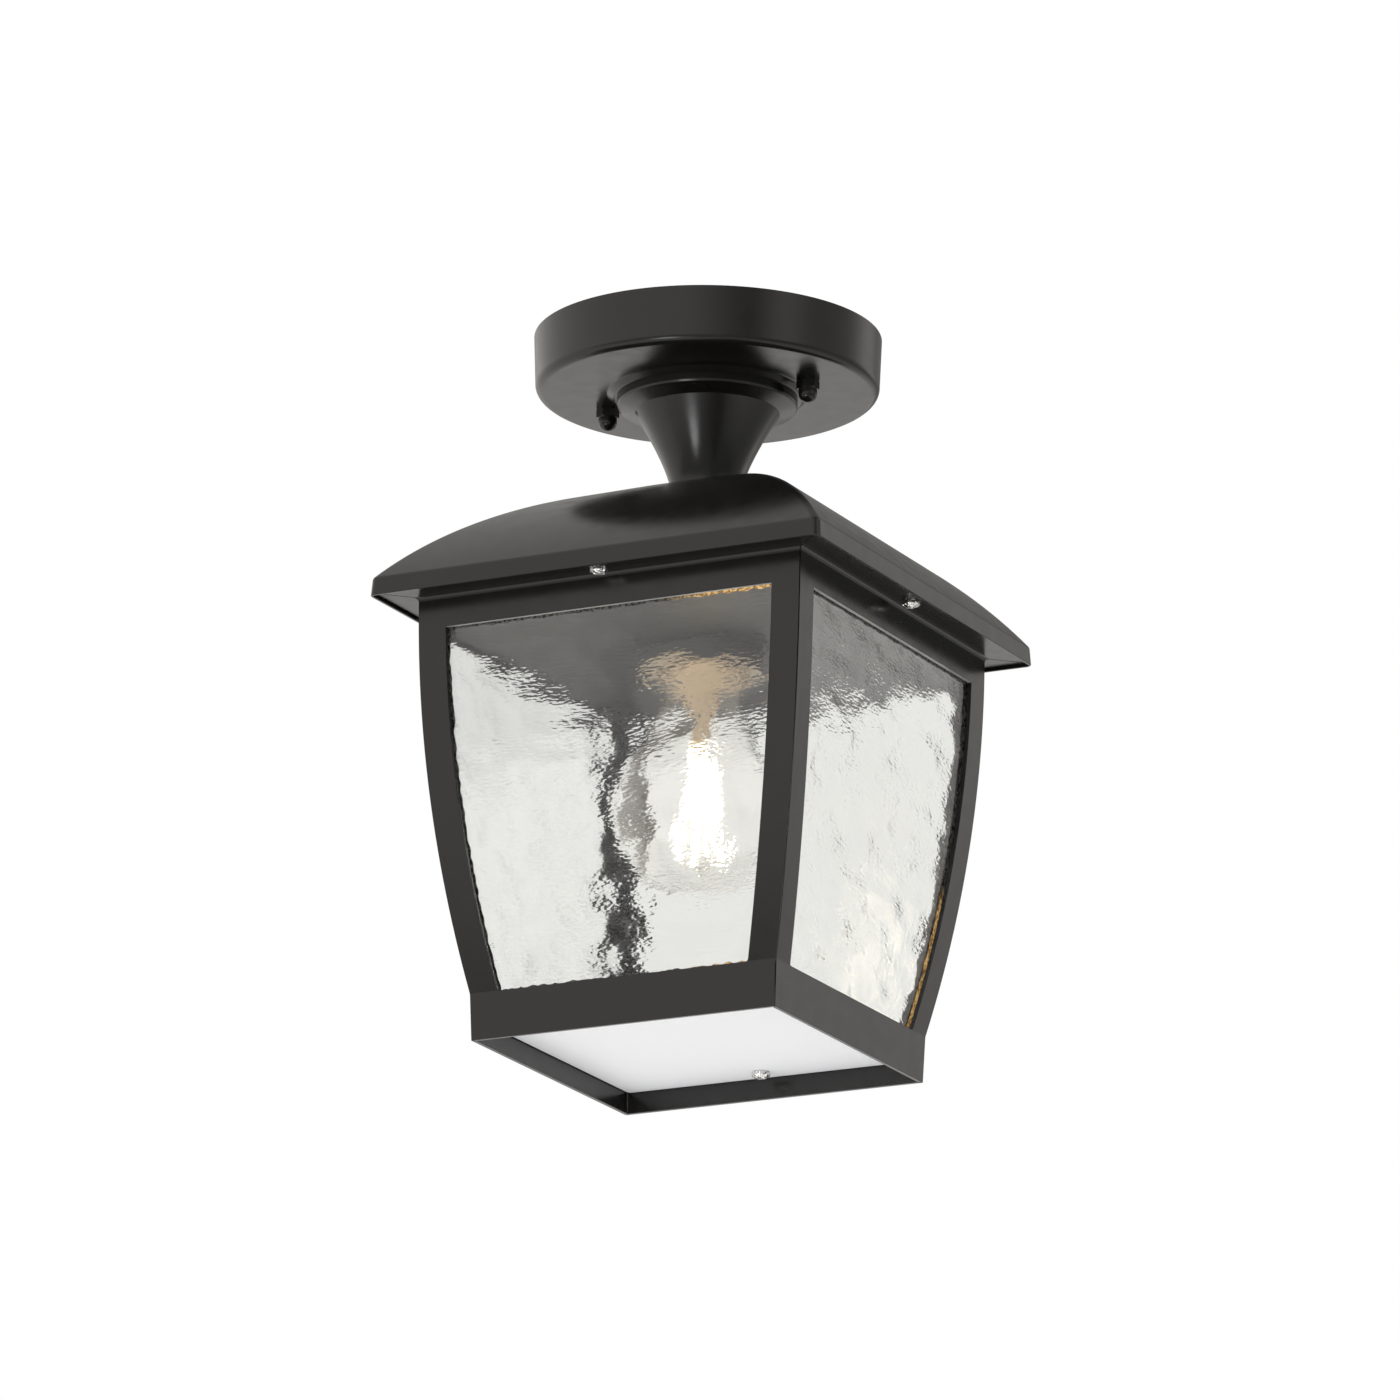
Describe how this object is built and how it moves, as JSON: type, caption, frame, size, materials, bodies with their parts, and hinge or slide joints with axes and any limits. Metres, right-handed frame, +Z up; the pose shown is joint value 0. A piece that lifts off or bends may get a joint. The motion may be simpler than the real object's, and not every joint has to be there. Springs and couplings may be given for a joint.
{
  "type": "outdoor ceiling light",
  "caption": "Semi-flush outdoor ceiling lantern: round canopy, trumpet stem, pillow-shaped square roof, bowed black cage with rippled glass panes, clear bulb and opal bottom plate.",
  "frame": {"origin": "centre of the ceiling face, on the axis of the stem, midway between the two ceiling slots", "axes": "+Z up into the ceiling; the front face looks along -Y and the two ceiling slots lie along X"},
  "size_m": [0.1716, 0.1716, 0.2594],
  "materials": {
    "black_paint": "satin black powder coat",
    "inner_paint": "matt black paint",
    "zinc_steel": "zinc plated",
    "screw_steel": "nickel plated",
    "water_glass": "clear rippled glass",
    "opal_plastic": "opal, satin",
    "porcelain": "glazed porcelain",
    "brass": "plain brass",
    "block_plastic": "moulded plastic",
    "bulb_glass": "clear blown glass",
    "nickel": "nickel plated",
    "cap_glass": "black vitrified glass",
    "filament": "phosphor coated, glowing",
    "brown_wire": "plastic sheath",
    "blue_wire": "plastic sheath",
    "green_wire": "plastic sheath"
  },
  "bodies": {
    "lantern": {"ceiling_bracket": "zinc_steel", "bracket_studs": "zinc_steel", "stud_locknuts": "zinc_steel", "canopy": "black_paint", "cap_nuts": "black_paint", "terminal_block": "block_plastic", "terminal_screws": "brass", "earth_screw": "brass", "threaded_tube": "zinc_steel", "canopy_washer": "zinc_steel", "canopy_nut": "zinc_steel", "stem": "black_paint", "roof": "black_paint", "roof_washer": "zinc_steel", "roof_nut": "zinc_steel", "eave_tabs": "black_paint", "eave_screws": "screw_steel", "holder_nuts": "zinc_steel", "holder_cup": "inner_paint", "holder_body": "porcelain", "holder_sleeve": "brass", "holder_contact": "brass", "holder_terminals": "brass", "panel_front": "black_paint", "panel_right": "black_paint", "panel_back": "black_paint", "panel_left": "black_paint", "cover_plate": "inner_paint", "glass_front": "water_glass", "glass_right": "water_glass", "glass_back": "water_glass", "glass_left": "water_glass", "glass_clips": "black_paint", "corner_gussets": "black_paint", "plate_tabs": "black_paint", "live_wire": "brown_wire", "neutral_wire": "blue_wire", "earth_wire": "green_wire"},
    "bulb": {"bulb_globe": "bulb_glass", "bulb_cap": "nickel", "bulb_insulator": "cap_glass", "bulb_contact": "nickel", "bulb_mount": "bulb_glass", "bulb_filaments": "filament", "bulb_leads": "nickel"},
    "bottom_plate": {"opal_plate": "opal_plastic", "plate_screws": "screw_steel"}
  },
  "joints": [
    {"name": "bulb_turn", "type": "hinge", "parent": "lantern", "child": "bulb", "pos_m": [0, 0, -0.11], "axis": [0, 0, -1], "range_deg": [0, 1080]},
    {"name": "plate_drop", "type": "slide", "parent": "lantern", "child": "bottom_plate", "axis": [0, 0, -1], "range_m": [0, 0.06]}
  ]
}
